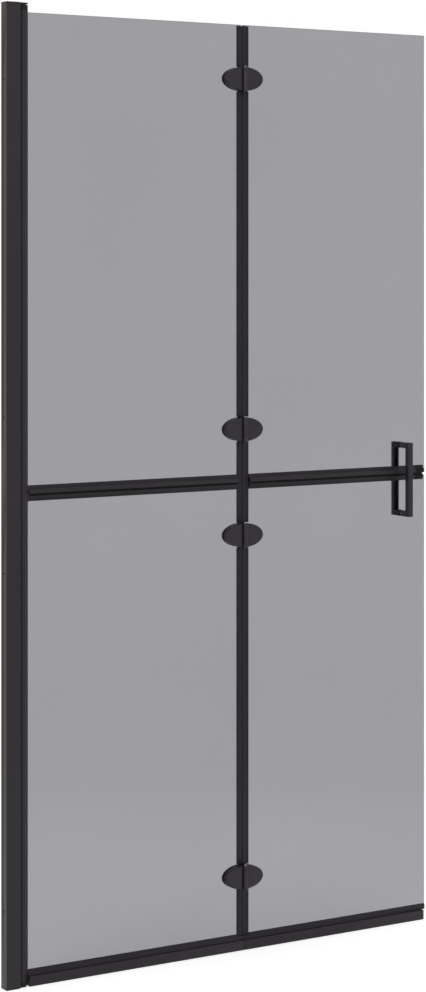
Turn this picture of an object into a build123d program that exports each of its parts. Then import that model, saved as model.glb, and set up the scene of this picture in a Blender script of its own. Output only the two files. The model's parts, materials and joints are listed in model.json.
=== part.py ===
"""Folding walk-in shower screen: wall frame, inner leaf and outer leaf.

X runs from the wall face to the free edge, -Y is the side the hinges and the fold are on,
and Z is up from the shower tray. Sizes are millimetres. Both leaves are drawn open, in line.
"""

import os

from build123d import *

os.makedirs("parts", exist_ok=True)

# Side of the fold that a leaf is on, as a sign along X
INNER = -1
OUTER = 1

# Overall size
SCREEN_WIDTH = 1000
SCREEN_HEIGHT = 1900
SPLIT_Z = 951

# Turning axes
PIVOT_X = 40
FOLD_X = 540.5
FOLD_Y = -15.3

# Glass panes
GLASS_HALF = 2.5
GLASS_TOP = 1882
UPPER_GLASS_LOW = 956.5
LOWER_GLASS_HIGH = 945.2
GLASS_LOW = 24
INNER_GLASS_START = 38
FOLD_GLASS_INSET = 3
GLASS_ARRIS = 0.5
GLASS_SIDE_PLAY = 0.1
GLASS_END_PLAY = 0.4

# Wall channel and the adjusting profile inside it
CHANNEL_DEPTH = 29
CHANNEL_HALF = 12
CHANNEL_WEB = 2
CHANNEL_FLANGE = 2.3
CHANNEL_CORNER = 1.4
CHANNEL_BACK_CORNER = 0.8
ADJUST_START = 8
ADJUST_FRONT = 32
ADJUST_WEB_BACK = 27
ADJUST_HALF = 9.5
ADJUST_WALL = 1.6
SEAT_RADIUS = 8.5
WALL_SCREW_RADIUS = 2.25
LOWER_WALL_SCREWS = (150, 800)
UPPER_WALL_SCREWS = (1100, 1750)
ADJUSTER_X = 18
LOWER_ADJUSTERS = (90, 860)
UPPER_ADJUSTERS = (1040, 1810)

# Splice between the two channel lengths
SPLICE_THICK = 2
SPLICE_HALF_WIDTH = 7
SPLICE_HALF_HEIGHT = 50
SPLICE_SCREW_OFFSETS = (15, 35)
SPLICE_SCREW_START = 0.5

# Small screws of the wall frame
SMALL_SHANK = 1.6
SMALL_CLEARANCE = 1.7
SMALL_HEAD = 3
SMALL_HEAD_HEIGHT = 1.5

# Bearing plates, bushes and pivot pins
PLATE_THICK = 3
LUG_START = 2
LUG_END = 7.5
LUG_HALF = 9.6
LUG_HEIGHT = 12
LUG_SCREW_X = 4.75
LUG_SCREW_DEPTH = 6
BUSH_FLANGE = 1.2
BUSH_FLANGE_RADIUS = 6.5
BUSH_OUTER = 4.5
PIN_RADIUS = 3
BUSH_INNER = 3.05
BUSH_GAP = 0.3
PIVOT_PIN_LENGTH = 13

# Pivot profile that carries the inner glass
PIVOT_RADIUS = 8
PIVOT_LIP_END = 48.6
PIVOT_LIP_HALF = 6.3
PIVOT_SLOT_START = 36.8
SLOT_HALF = 3.3
PIVOT_GASKET_INSET = 0.4
BOTTOM_BLOCK_HEIGHT = 6
BOTTOM_TONGUE = 6
TOP_BLOCK_HEIGHT = 10
TOP_TONGUE = 3
TONGUE_PLAY = 0.1
TONGUE_INSET = 1
COUPLER_LOW = 936
COUPLER_HIGH = 967
COUPLER_ARM_END = 50.2
COUPLER_GROOVES = (939, 945, 951, 957, 963)
COUPLER_GROOVE = 1.6
COUPLER_GROOVE_X = (42, 48.6)
COUPLER_GROOVE_BACK = -5.6
SPIGOT_RADIUS = 1.5
SPIGOT_HOLE = 1.55
SPIGOT_Y = 5.5
SPIGOT_REACH = 20
SPIGOT_PLAY = 1
COUPLER_SCREW_X = 46.2
COUPLER_SCREW_HEIGHTS = (947.5, 955.5)

# Rails, bottom profile and fold seals
LEAF_START = 50.5
RAIL_GAP = 0.3
FLANGE_HALF = 4.8
BEAD_HALF = 9.5
LOWER_BEAD_HALF = 6.5
BEAD_CORNER = 1.8
UPPER_FLANGE_Z = (959, 967)
UPPER_BEAD_Z = (951.6, 960.4)
UPPER_SLOT_Z = (955, 967)
LOWER_FLANGE_Z = (937, 943)
LOWER_BEAD_Z = (942, 948)
LOWER_SLOT_Z = (937, 946.2)
SPLINE_Z = (948, 951.6)
SPLINE_HALF = 2.4
END_CAP_START = 973
END_CAP_END = 995
END_CAP_GROOVES = (975.5, 981.8, 988.5)
END_CAP_GROOVE = 2.2
END_CAP_GROOVE_DEPTH = 1.6
BOTTOM_FLANGE_Z = (19, 31)
BOTTOM_BODY_Z = (0.2, 19.8)
BOTTOM_BODY_HALF = 10.5
BOTTOM_CORNER = 0.5
BOTTOM_SLOT_Z = (22, 31)
BOTTOM_BODY_END = 993
BOTTOM_BODY_CUT = 20.3
BOTTOM_FLANGE_END = 999.4
SWEEP_SLOT_HALF = 4.5
SWEEP_SLOT_HIGH = 10
SWEEP_CARRIER_Z = (0.8, 9.8)
SWEEP_CARRIER_HALF = 4.3
SWEEP_BLADE_HALF = 1
SEAL_LOW = 28.5
SEAL_HIGH = 1880
SEAL_END_GAP = 0.3
SEAL_FOLD_GAP = 0.4
SEAL_REACH = {INNER: 11.6, OUTER: 15.1}
SEAL_HALF = 3.6
SEAL_CORNER = 0.6
SEAL_GROOVE_X = (550.2, 551.4)
SEAL_GROOVE_DEPTH = 0.6

# Hinges
HINGE_HEIGHTS = (1771.7, 1059, 843.8, 148.5)
HINGE_HALF_WIDTH = 44.3
HINGE_HALF_HEIGHT = 24.4
HINGE_EDGE = {INNER: 9, OUTER: 5.6}
HINGE_BACK = 3.3
HINGE_THICK = 11
HINGE_ROUND = 4.5
BARREL_RADIUS = 4.75
KNUCKLE_HALF = 19
KNUCKLE_GAP = 0.4
BARREL_HALF = 25.4
HINGE_PIN_RADIUS = 2.5
HINGE_BUSH_INNER = 2.55
HINGE_BUSH_OUTER = 3.4
HINGE_PIN_HALF = 26.4
NECK_Y = {INNER: (-13, -11), OUTER: (-14.3, -11)}
NECK_HALF = 23.4
NECK_LAP = 1
LEDGE_GAP = 4.9
HINGE_SCREW_X = 27
HINGE_SCREW_Z = 9
HINGE_SCREW_RADIUS = 2.5
HINGE_SCREW_HOLE = 2.7
HINGE_GLASS_HOLE = 4
HINGE_SCREW_TIP = 11.3
HINGE_SCREW_HEAD = 4.2
HINGE_SCREW_HEAD_HEIGHT = 1.8
CLAMP_THICK = 5
CLAMP_ROUND = 2
SEAL_NOTCH_HALF = 25.4
SEAL_NOTCH_EDGE = {INNER: 8.6, OUTER: 5.2}

# Handle
HANDLE_X = 943
HANDLE_BAR = 12
HANDLE_REACH = 32.5
HANDLE_LOW = 861
HANDLE_HIGH = 1017.5
HANDLE_CORNER = 0.8
WASHER_THICK = 1
WASHER_RADIUS = 5.8
STUD_RADIUS = 3
STUD_HALF = 15
STUD_GLASS_HOLE = 5


def mid(span):
    return (span[0] + span[1]) / 2


def size(span):
    return span[1] - span[0]


def keep(piece, label):
    piece.part.label = label
    export_step(piece.part, f"parts/{label}.step")


def block(x_span, y_span, z_span, mode=Mode.ADD):
    """One upright block inside the part being built."""
    with BuildSketch(Plane.XY.offset(z_span[0])) as footprint:
        with Locations((mid(x_span), mid(y_span))):
            Rectangle(size(x_span), size(y_span))
    extrude(footprint.sketch, amount=size(z_span), mode=mode)


def rod_along_x(start, y, z, radius, length, mode=Mode.ADD):
    with BuildSketch(Plane.YZ.offset(start)) as end:
        with Locations((y, z)):
            Circle(radius)
    extrude(end.sketch, amount=length, mode=mode)


def rod_along_y(start, x, z, radius, length, mode=Mode.ADD):
    """A round rod that starts at Y = start and runs towards -Y."""
    with BuildSketch(Plane.XZ.offset(-start)) as end:
        with Locations((x, z)):
            Circle(radius)
    extrude(end.sketch, amount=length, mode=mode)


def rod_along_z(start, x, y, radius, length, mode=Mode.ADD):
    with BuildSketch(Plane.XY.offset(start)) as end:
        with Locations((x, y)):
            Circle(radius)
    extrude(end.sketch, amount=length, mode=mode)


# Wall frame


def wall_profile(label, z_span, wall_screws, splice_screws, adjusters, lug_screw_z):
    """U channel screwed to the wall, open towards the screen."""
    with BuildPart() as channel:
        with BuildSketch(Plane.XY.offset(z_span[0])) as section:
            with Locations((CHANNEL_DEPTH / 2, 0)):
                Rectangle(CHANNEL_DEPTH, 2 * CHANNEL_HALF)
            fillet(section.vertices().group_by(Axis.X)[-1], CHANNEL_CORNER)
            fillet(section.vertices().group_by(Axis.X)[0], CHANNEL_BACK_CORNER)
            with Locations(((CHANNEL_DEPTH + CHANNEL_WEB) / 2, 0)):
                Rectangle(
                    CHANNEL_DEPTH - CHANNEL_WEB,
                    2 * (CHANNEL_HALF - CHANNEL_FLANGE),
                    mode=Mode.SUBTRACT,
                )
        extrude(amount=size(z_span))
        for z in wall_screws:
            rod_along_x(0, 0, z, WALL_SCREW_RADIUS, CHANNEL_WEB, Mode.SUBTRACT)
        for z in splice_screws:
            depth = CHANNEL_WEB - SPLICE_SCREW_START
            rod_along_x(SPLICE_SCREW_START, 0, z, SMALL_SHANK, depth, Mode.SUBTRACT)
        for z in adjusters:
            rod_along_y(CHANNEL_HALF, ADJUSTER_X, z, SMALL_CLEARANCE, CHANNEL_FLANGE, Mode.SUBTRACT)
        rod_along_y(CHANNEL_HALF, LUG_SCREW_X, lug_screw_z, SMALL_CLEARANCE, CHANNEL_FLANGE, Mode.SUBTRACT)
    keep(channel, label)


def adjusting_profile(label, z_span, adjusters):
    """Sliding profile inside the channel, with a hollow seat for the round pivot profile."""
    with BuildPart() as profile:
        with BuildSketch(Plane.XY.offset(z_span[0])):
            with Locations(((ADJUST_START + ADJUST_FRONT) / 2, 0)):
                Rectangle(ADJUST_FRONT - ADJUST_START, 2 * ADJUST_HALF)
            with Locations(((ADJUST_START + ADJUST_WEB_BACK) / 2, 0)):
                Rectangle(
                    ADJUST_WEB_BACK - ADJUST_START,
                    2 * (ADJUST_HALF - ADJUST_WALL),
                    mode=Mode.SUBTRACT,
                )
            with Locations((PIVOT_X, 0)):
                Circle(SEAT_RADIUS, mode=Mode.SUBTRACT)
        extrude(amount=size(z_span))
        for z in adjusters:
            rod_along_y(ADJUST_HALF, ADJUSTER_X, z, SMALL_SHANK, ADJUST_WALL, Mode.SUBTRACT)
    keep(profile, label)


def splice_screw_heights(side):
    return [SPLIT_Z + side * offset for offset in SPLICE_SCREW_OFFSETS]


def splice():
    """Flat plate that joins the two channel lengths, with its screws."""
    heights = splice_screw_heights(-1) + splice_screw_heights(1)
    with BuildPart() as plate:
        block(
            (CHANNEL_WEB, CHANNEL_WEB + SPLICE_THICK),
            (-SPLICE_HALF_WIDTH, SPLICE_HALF_WIDTH),
            (SPLIT_Z - SPLICE_HALF_HEIGHT, SPLIT_Z + SPLICE_HALF_HEIGHT),
        )
        for z in heights:
            rod_along_x(CHANNEL_WEB, 0, z, SMALL_CLEARANCE, SPLICE_THICK, Mode.SUBTRACT)
    keep(plate, "splice_plate")
    head_start = CHANNEL_WEB + SPLICE_THICK
    with BuildPart() as screws:
        for z in heights:
            rod_along_x(SPLICE_SCREW_START, 0, z, SMALL_SHANK, head_start - SPLICE_SCREW_START)
            rod_along_x(head_start, 0, z, SMALL_HEAD, SMALL_HEAD_HEIGHT)
    keep(screws, "splice_screws")


def adjuster_screws():
    """Side screws that lock the adjusting profile in the channel."""
    with BuildPart() as screws:
        for z in LOWER_ADJUSTERS + UPPER_ADJUSTERS:
            rod_along_y(CHANNEL_HALF, ADJUSTER_X, z, SMALL_SHANK, CHANNEL_HALF - ADJUST_HALF + ADJUST_WALL)
            rod_along_y(CHANNEL_HALF + SMALL_HEAD_HEIGHT, ADJUSTER_X, z, SMALL_HEAD, SMALL_HEAD_HEIGHT)
    keep(screws, "adjuster_screws")


def bearing_plate(label, z_span, covers_lips, lug_span, lug_screw_z):
    """End plate with a round nose that carries one pivot bush, and a lug inside the channel."""
    with BuildPart() as plate:
        with BuildSketch(Plane.XY.offset(z_span[0])):
            with Locations((CHANNEL_DEPTH / 2, 0)):
                Rectangle(CHANNEL_DEPTH, 2 * CHANNEL_HALF)
            with Locations(((CHANNEL_DEPTH + PIVOT_X) / 2, 0)):
                Rectangle(PIVOT_X - CHANNEL_DEPTH, 2 * PIVOT_RADIUS)
            with Locations((PIVOT_X, 0)):
                Circle(PIVOT_RADIUS)
            if covers_lips:
                with Locations(((PIVOT_X + PIVOT_LIP_END) / 2, 0)):
                    Rectangle(PIVOT_LIP_END - PIVOT_X, 2 * PIVOT_LIP_HALF)
            with Locations((PIVOT_X, 0)):
                Circle(BUSH_OUTER, mode=Mode.SUBTRACT)
        extrude(amount=size(z_span))
        block((LUG_START, LUG_END), (-LUG_HALF, LUG_HALF), lug_span)
        rod_along_y(LUG_HALF, LUG_SCREW_X, lug_screw_z, SMALL_SHANK, LUG_SCREW_DEPTH, Mode.SUBTRACT)
    keep(plate, label)


def bearing_plate_screws(heights):
    with BuildPart() as screws:
        for z in heights:
            reach = CHANNEL_HALF - LUG_HALF + LUG_SCREW_DEPTH
            rod_along_y(CHANNEL_HALF, LUG_SCREW_X, z, SMALL_SHANK, reach)
            rod_along_y(CHANNEL_HALF + SMALL_HEAD_HEIGHT, LUG_SCREW_X, z, SMALL_HEAD, SMALL_HEAD_HEIGHT)
    keep(screws, "bearing_plate_screws")


def pivot_bushes():
    """Flanged bushes in the two bearing plates, with their flanges towards the leaf."""
    top_plate_low = SCREEN_HEIGHT - PLATE_THICK
    with BuildPart() as bushes:
        rod_along_z(0, PIVOT_X, 0, BUSH_OUTER, PLATE_THICK)
        rod_along_z(PLATE_THICK, PIVOT_X, 0, BUSH_FLANGE_RADIUS, BUSH_FLANGE)
        rod_along_z(0, PIVOT_X, 0, BUSH_INNER, PLATE_THICK + BUSH_FLANGE, Mode.SUBTRACT)
        rod_along_z(top_plate_low, PIVOT_X, 0, BUSH_OUTER, PLATE_THICK)
        rod_along_z(top_plate_low - BUSH_FLANGE, PIVOT_X, 0, BUSH_FLANGE_RADIUS, BUSH_FLANGE)
        rod_along_z(top_plate_low - BUSH_FLANGE, PIVOT_X, 0, BUSH_INNER, PLATE_THICK + BUSH_FLANGE, Mode.SUBTRACT)
    keep(bushes, "pivot_bushes")


# Pivot side of the inner leaf

LEAF_BOTTOM = PLATE_THICK + BUSH_FLANGE + BUSH_GAP
LEAF_TOP = SCREEN_HEIGHT - LEAF_BOTTOM


def pivot_outline(lip_end):
    """Round nose with two flat lips that run towards the glass."""
    with Locations((PIVOT_X, 0)):
        Circle(PIVOT_RADIUS)
    with Locations(((PIVOT_X + lip_end) / 2, 0)):
        Rectangle(lip_end - PIVOT_X, 2 * PIVOT_LIP_HALF)


def pivot_profile(label, z_span, spigot_start):
    """Round-nosed upright profile with a slot for the glass edge."""
    with BuildPart() as profile:
        with BuildSketch(Plane.XY.offset(z_span[0])):
            pivot_outline(PIVOT_LIP_END)
            with Locations(((PIVOT_SLOT_START + PIVOT_LIP_END) / 2, 0)):
                Rectangle(PIVOT_LIP_END - PIVOT_SLOT_START, 2 * SLOT_HALF, mode=Mode.SUBTRACT)
        extrude(amount=size(z_span))
        for y in (-SPIGOT_Y, SPIGOT_Y):
            rod_along_z(spigot_start, PIVOT_X, y, SPIGOT_HOLE, SPIGOT_REACH, Mode.SUBTRACT)
    keep(profile, label)


def pivot_block(label, disc_z, tongue_z, pin_low):
    """End block of the pivot profile: its full outline, and a tongue in the glass slot."""
    with BuildPart() as end_block:
        with BuildSketch(Plane.XY.offset(disc_z[0])):
            pivot_outline(PIVOT_LIP_END)
        extrude(amount=size(disc_z))
        block(
            (PIVOT_SLOT_START + TONGUE_PLAY, PIVOT_LIP_END - TONGUE_INSET),
            (-SLOT_HALF + TONGUE_PLAY, SLOT_HALF - TONGUE_PLAY),
            tongue_z,
        )
        rod_along_z(pin_low, PIVOT_X, 0, PIN_RADIUS, PIVOT_PIN_LENGTH, Mode.SUBTRACT)
    keep(end_block, label)


def pivot_pins(starts):
    with BuildPart() as pins:
        for z in starts:
            rod_along_z(z, PIVOT_X, 0, PIN_RADIUS, PIVOT_PIN_LENGTH)
    keep(pins, "pivot_pins")


def coupler_screw_rods(mode=Mode.ADD):
    """Flush set screws in the back lip of the coupler."""
    depth = PIVOT_LIP_HALF - SLOT_HALF
    for z in COUPLER_SCREW_HEIGHTS:
        rod_along_y(PIVOT_LIP_HALF, COUPLER_SCREW_X, z, SMALL_SHANK, depth, mode)
        rod_along_y(PIVOT_LIP_HALF, COUPLER_SCREW_X, z, SMALL_HEAD, SMALL_HEAD_HEIGHT, mode)


def pivot_coupler():
    """Ribbed piece between the two pivot profile lengths, that reaches out to the middle rail."""
    glass_x = (INNER_GLASS_START - GLASS_END_PLAY, COUPLER_ARM_END)
    glass_y = (-GLASS_HALF - GLASS_SIDE_PLAY, GLASS_HALF + GLASS_SIDE_PLAY)
    with BuildPart() as coupler:
        with BuildSketch(Plane.XY.offset(COUPLER_LOW)):
            pivot_outline(COUPLER_ARM_END)
        extrude(amount=COUPLER_HIGH - COUPLER_LOW)
        for z in COUPLER_GROOVES:
            groove_y = (-PIVOT_RADIUS, COUPLER_GROOVE_BACK)
            block(COUPLER_GROOVE_X, groove_y, (z, z + COUPLER_GROOVE), Mode.SUBTRACT)
        for y in (-SPIGOT_Y, SPIGOT_Y):
            low = COUPLER_LOW - SPIGOT_REACH + SPIGOT_PLAY
            high = COUPLER_HIGH + SPIGOT_REACH - SPIGOT_PLAY
            rod_along_z(low, PIVOT_X, y, SPIGOT_RADIUS, high - low)
        block(glass_x, glass_y, (UPPER_GLASS_LOW - GLASS_END_PLAY, COUPLER_HIGH), Mode.SUBTRACT)
        block(glass_x, glass_y, (COUPLER_LOW, LOWER_GLASS_HIGH + GLASS_END_PLAY), Mode.SUBTRACT)
        coupler_screw_rods(Mode.SUBTRACT)
    keep(coupler, "pivot_coupler")
    with BuildPart() as screws:
        coupler_screw_rods()
    keep(screws, "coupler_screws")


def pivot_gaskets():
    """Rubber strips that line the glass slot of both pivot profiles."""
    outer_end = PIVOT_LIP_END - PIVOT_GASKET_INSET
    spans = (
        (GLASS_LOW, COUPLER_LOW),
        (COUPLER_HIGH, GLASS_TOP),
    )
    with BuildPart() as gaskets:
        for z_span in spans:
            block((PIVOT_SLOT_START, outer_end), (-SLOT_HALF, SLOT_HALF), z_span)
            block((INNER_GLASS_START, outer_end), (-GLASS_HALF, GLASS_HALF), z_span, Mode.SUBTRACT)
    keep(gaskets, "pivot_gaskets")


# Glass


def hinge_screw_points(side):
    return [
        (FOLD_X + side * HINGE_SCREW_X, z + dz)
        for z in HINGE_HEIGHTS
        for dz in (-HINGE_SCREW_Z, HINGE_SCREW_Z)
    ]


def glass_pane(label, x_span, z_span, holes):
    with BuildPart() as pane:
        with BuildSketch(Plane.XZ.offset(-GLASS_HALF)):
            with Locations((mid(x_span), mid(z_span))):
                Rectangle(size(x_span), size(z_span))
        extrude(amount=2 * GLASS_HALF)
        chamfer(pane.edges().filter_by(Axis.X), GLASS_ARRIS)
        for x, z, radius in holes:
            rod_along_y(GLASS_HALF, x, z, radius, 2 * GLASS_HALF, Mode.SUBTRACT)
    keep(pane, label)


def leaf_glass(name, side, x_span, stud_heights):
    """Upper and lower pane of one leaf, drilled for hinge screws and handle studs."""
    for part_name, z_span in (
        ("upper", (UPPER_GLASS_LOW, GLASS_TOP)),
        ("lower", (GLASS_LOW, LOWER_GLASS_HIGH)),
    ):
        holes = [
            (x, z, HINGE_GLASS_HOLE)
            for x, z in hinge_screw_points(side)
            if z_span[0] < z < z_span[1]
        ]
        holes += [(HANDLE_X, z, STUD_GLASS_HOLE) for z in stud_heights if z_span[0] < z < z_span[1]]
        glass_pane(f"{name}_glass_{part_name}", x_span, z_span, holes)


# Rails and bottom profile


def rail_fold_end(side):
    return FOLD_X + side * (SEAL_REACH[side] + RAIL_GAP)


def glazing_rail(label, x_span, flange_z, bead_z, bead_half, slot_z):
    """Edge profile along X: a thin flange on the glass and a proud rounded bead."""
    with BuildPart() as rail:
        with BuildSketch(Plane.YZ.offset(x_span[0])):
            with Locations((0, mid(flange_z))):
                Rectangle(2 * FLANGE_HALF, size(flange_z))
            with Locations((0, mid(bead_z))):
                RectangleRounded(2 * bead_half, size(bead_z), BEAD_CORNER)
            with Locations((0, mid(slot_z))):
                Rectangle(2 * SLOT_HALF, size(slot_z), mode=Mode.SUBTRACT)
        extrude(amount=size(x_span))
    keep(rail, label)


def rail_gaskets(label, x_span):
    """U-shaped rubber in both rail slots."""
    with BuildPart() as gaskets:
        for slot_z, glass_z in (
            (UPPER_SLOT_Z, (UPPER_GLASS_LOW, UPPER_SLOT_Z[1])),
            (LOWER_SLOT_Z, (LOWER_SLOT_Z[0], LOWER_GLASS_HIGH)),
        ):
            block(x_span, (-SLOT_HALF, SLOT_HALF), slot_z)
            block(x_span, (-GLASS_HALF, GLASS_HALF), glass_z, Mode.SUBTRACT)
    keep(gaskets, label)


def rail_spline(label, x_span):
    with BuildPart() as spline:
        block(x_span, (-SPLINE_HALF, SPLINE_HALF), SPLINE_Z)
    keep(spline, label)


def rail_end_cap(label):
    """Ribbed plastic end of the outer leaf's middle rail."""
    with BuildPart() as cap:
        with BuildSketch(Plane.YZ.offset(END_CAP_START)) as section:
            with Locations((0, mid(UPPER_FLANGE_Z))):
                Rectangle(2 * FLANGE_HALF, size(UPPER_FLANGE_Z))
            with Locations((0, mid(UPPER_BEAD_Z))):
                RectangleRounded(2 * BEAD_HALF, size(UPPER_BEAD_Z), BEAD_CORNER)
            with Locations((0, mid(SPLINE_Z))):
                Rectangle(2 * SPLINE_HALF, size(SPLINE_Z))
            with Locations((0, mid(LOWER_BEAD_Z))):
                RectangleRounded(2 * LOWER_BEAD_HALF, size(LOWER_BEAD_Z), BEAD_CORNER)
            with Locations((0, mid(LOWER_FLANGE_Z))):
                Rectangle(2 * FLANGE_HALF, size(LOWER_FLANGE_Z))
            with Locations((0, mid((UPPER_GLASS_LOW, UPPER_SLOT_Z[1])))):
                Rectangle(2 * GLASS_HALF, UPPER_SLOT_Z[1] - UPPER_GLASS_LOW, mode=Mode.SUBTRACT)
            with Locations((0, mid((LOWER_SLOT_Z[0], LOWER_GLASS_HIGH)))):
                Rectangle(2 * GLASS_HALF, LOWER_GLASS_HIGH - LOWER_SLOT_Z[0], mode=Mode.SUBTRACT)
        extrude(amount=END_CAP_END - END_CAP_START)
        for x in END_CAP_GROOVES:
            for bead_half, bead_z in ((BEAD_HALF, UPPER_BEAD_Z), (LOWER_BEAD_HALF, LOWER_BEAD_Z)):
                for y_side in (-1, 1):
                    y_span = sorted((y_side * (bead_half - END_CAP_GROOVE_DEPTH), y_side * bead_half))
                    block((x, x + END_CAP_GROOVE), y_span, bead_z, Mode.SUBTRACT)
    keep(cap, label)


def bottom_profile(label, x_span, body_end, side):
    """Bottom rail of a leaf, notched where the upright fold seal stands in front of it."""
    with BuildPart() as profile:
        with BuildSketch(Plane.YZ.offset(x_span[0])):
            with Locations((0, mid(BOTTOM_FLANGE_Z))):
                Rectangle(2 * FLANGE_HALF, size(BOTTOM_FLANGE_Z))
            with Locations((0, mid(BOTTOM_BODY_Z))):
                RectangleRounded(2 * BOTTOM_BODY_HALF, size(BOTTOM_BODY_Z), BOTTOM_CORNER)
            with Locations((0, mid(BOTTOM_SLOT_Z))):
                Rectangle(2 * SLOT_HALF, size(BOTTOM_SLOT_Z), mode=Mode.SUBTRACT)
            with Locations((0, mid((BOTTOM_BODY_Z[0], SWEEP_SLOT_HIGH)))):
                Rectangle(2 * SWEEP_SLOT_HALF, SWEEP_SLOT_HIGH - BOTTOM_BODY_Z[0], mode=Mode.SUBTRACT)
        extrude(amount=size(x_span))
        notch_x = sorted((FOLD_X, rail_fold_end(side)))
        notch_z = (SEAL_LOW - SEAL_END_GAP, BOTTOM_FLANGE_Z[1])
        block(notch_x, (-BEAD_HALF, BEAD_HALF), notch_z, Mode.SUBTRACT)
        if body_end < x_span[1]:
            cut_y = (-BOTTOM_BODY_HALF, BOTTOM_BODY_HALF)
            block((body_end, x_span[1]), cut_y, (0, BOTTOM_BODY_CUT), Mode.SUBTRACT)
    keep(profile, label)


def bottom_gasket(label, x_span):
    with BuildPart() as gasket:
        block(x_span, (-SLOT_HALF, SLOT_HALF), BOTTOM_SLOT_Z)
        block(x_span, (-GLASS_HALF, GLASS_HALF), (GLASS_LOW, BOTTOM_SLOT_Z[1]), Mode.SUBTRACT)
    keep(gasket, label)


def sweep_seal(label, x_span):
    """Rubber carrier in the bottom profile with a blade that wipes the tray."""
    with BuildPart() as seal:
        block(x_span, (-SWEEP_CARRIER_HALF, SWEEP_CARRIER_HALF), SWEEP_CARRIER_Z)
        block(x_span, (-SWEEP_BLADE_HALF, SWEEP_BLADE_HALF), (0, SWEEP_CARRIER_Z[0]))
    keep(seal, label)


def edge_seal(label, side):
    """Upright channel strip on the glass edge at the fold, one for each leaf."""
    strip_edge = FOLD_X + side * SEAL_REACH[side]
    strip_x = sorted((strip_edge, FOLD_X + side * SEAL_FOLD_GAP))
    slot = sorted((strip_edge, FOLD_X + side * FOLD_GLASS_INSET))
    with BuildPart() as strip:
        with BuildSketch(Plane.XY.offset(SEAL_LOW)):
            with Locations((mid(strip_x), 0)):
                RectangleRounded(size(strip_x), 2 * SEAL_HALF, SEAL_CORNER)
            with Locations((mid(slot), 0)):
                Rectangle(size(slot), 2 * GLASS_HALF, mode=Mode.SUBTRACT)
        extrude(amount=SEAL_HIGH - SEAL_LOW)
        if side == OUTER:
            groove_y = (-SEAL_HALF, -SEAL_HALF + SEAL_GROOVE_DEPTH)
            block(SEAL_GROOVE_X, groove_y, (SEAL_LOW, SEAL_HIGH), Mode.SUBTRACT)
        notch_x = sorted((strip_edge, FOLD_X + side * SEAL_NOTCH_EDGE[side]))
        for z in HINGE_HEIGHTS:
            notch_z = (z - SEAL_NOTCH_HALF, z + SEAL_NOTCH_HALF)
            block(notch_x, (-SEAL_HALF, SEAL_HALF), notch_z, Mode.SUBTRACT)
    keep(strip, label)


# Hinges


def half_oval(side, z):
    """Sketch of one half of the hinge's oval outline, clear of the barrel."""
    with Locations((FOLD_X, z)):
        Ellipse(HINGE_HALF_WIDTH, HINGE_HALF_HEIGHT)
    cut = sorted((FOLD_X - side * HINGE_HALF_WIDTH, FOLD_X + side * HINGE_EDGE[side]))
    with Locations((mid(cut), z)):
        Rectangle(size(cut), 2 * HINGE_HALF_HEIGHT, mode=Mode.SUBTRACT)


def hinge_plate(label, side, z, knuckles, bore):
    """Front half of a hinge with its knuckles round the fold axis."""
    with BuildPart() as plate:
        with BuildSketch(Plane.XZ.offset(HINGE_BACK)):
            half_oval(side, z)
        extrude(amount=HINGE_THICK)
        front = plate.faces().sort_by(Axis.Y)[0]
        fillet(front.edges().filter_by(GeomType.ELLIPSE), HINGE_ROUND)
        neck_x = sorted((FOLD_X, FOLD_X + side * (HINGE_EDGE[side] + NECK_LAP)))
        for low, high in knuckles:
            rod_along_z(z + low, FOLD_X, FOLD_Y, BARREL_RADIUS, high - low)
            block(neck_x, NECK_Y[side], (z + max(low, -NECK_HALF), z + min(high, NECK_HALF)))
        if side == INNER:
            ledge_x = (FOLD_X - HINGE_EDGE[INNER] - NECK_LAP, FOLD_X - LEDGE_GAP)
            block(ledge_x, NECK_Y[INNER], (z - NECK_HALF, z + NECK_HALF))
        for low, high in knuckles:
            rod_along_z(z + low, FOLD_X, FOLD_Y, bore, high - low, Mode.SUBTRACT)
        for dz in (-HINGE_SCREW_Z, HINGE_SCREW_Z):
            screw_x = FOLD_X + side * HINGE_SCREW_X
            depth = HINGE_SCREW_TIP - HINGE_BACK
            rod_along_y(-HINGE_BACK, screw_x, z + dz, HINGE_SCREW_RADIUS, depth, Mode.SUBTRACT)
    keep(plate, label)


def clamp_plates(label, side):
    """Back halves of the four hinges, behind the glass."""
    with BuildPart() as plates:
        for z in HINGE_HEIGHTS:
            with BuildSketch(Plane.XZ.offset(-HINGE_BACK)):
                half_oval(side, z)
            extrude(amount=-CLAMP_THICK)
        back = plates.faces().filter_by(Axis.Y).group_by(Axis.Y)[-1]
        fillet(back.edges().filter_by(GeomType.ELLIPSE), CLAMP_ROUND)
        for x, z in hinge_screw_points(side):
            rod_along_y(HINGE_BACK + CLAMP_THICK, x, z, HINGE_SCREW_HOLE, CLAMP_THICK, Mode.SUBTRACT)
    keep(plates, label)


def hinge_gaskets(label, side):
    """Rubber pads between the glass and both hinge halves."""
    thick = HINGE_BACK - GLASS_HALF
    with BuildPart() as pads:
        for z in HINGE_HEIGHTS:
            for start in (-HINGE_BACK, GLASS_HALF):
                with BuildSketch(Plane.XZ.offset(-start - thick)):
                    half_oval(side, z)
                extrude(amount=thick)
        for x, z in hinge_screw_points(side):
            rod_along_y(HINGE_BACK, x, z, HINGE_GLASS_HOLE, 2 * HINGE_BACK, Mode.SUBTRACT)
    keep(pads, label)


def hinge_screws(label, side):
    back = HINGE_BACK + CLAMP_THICK
    with BuildPart() as screws:
        for x, z in hinge_screw_points(side):
            rod_along_y(back, x, z, HINGE_SCREW_RADIUS, back + HINGE_SCREW_TIP)
            rod_along_y(back + HINGE_SCREW_HEAD_HEIGHT, x, z, HINGE_SCREW_HEAD, HINGE_SCREW_HEAD_HEIGHT)
    keep(screws, label)


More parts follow.
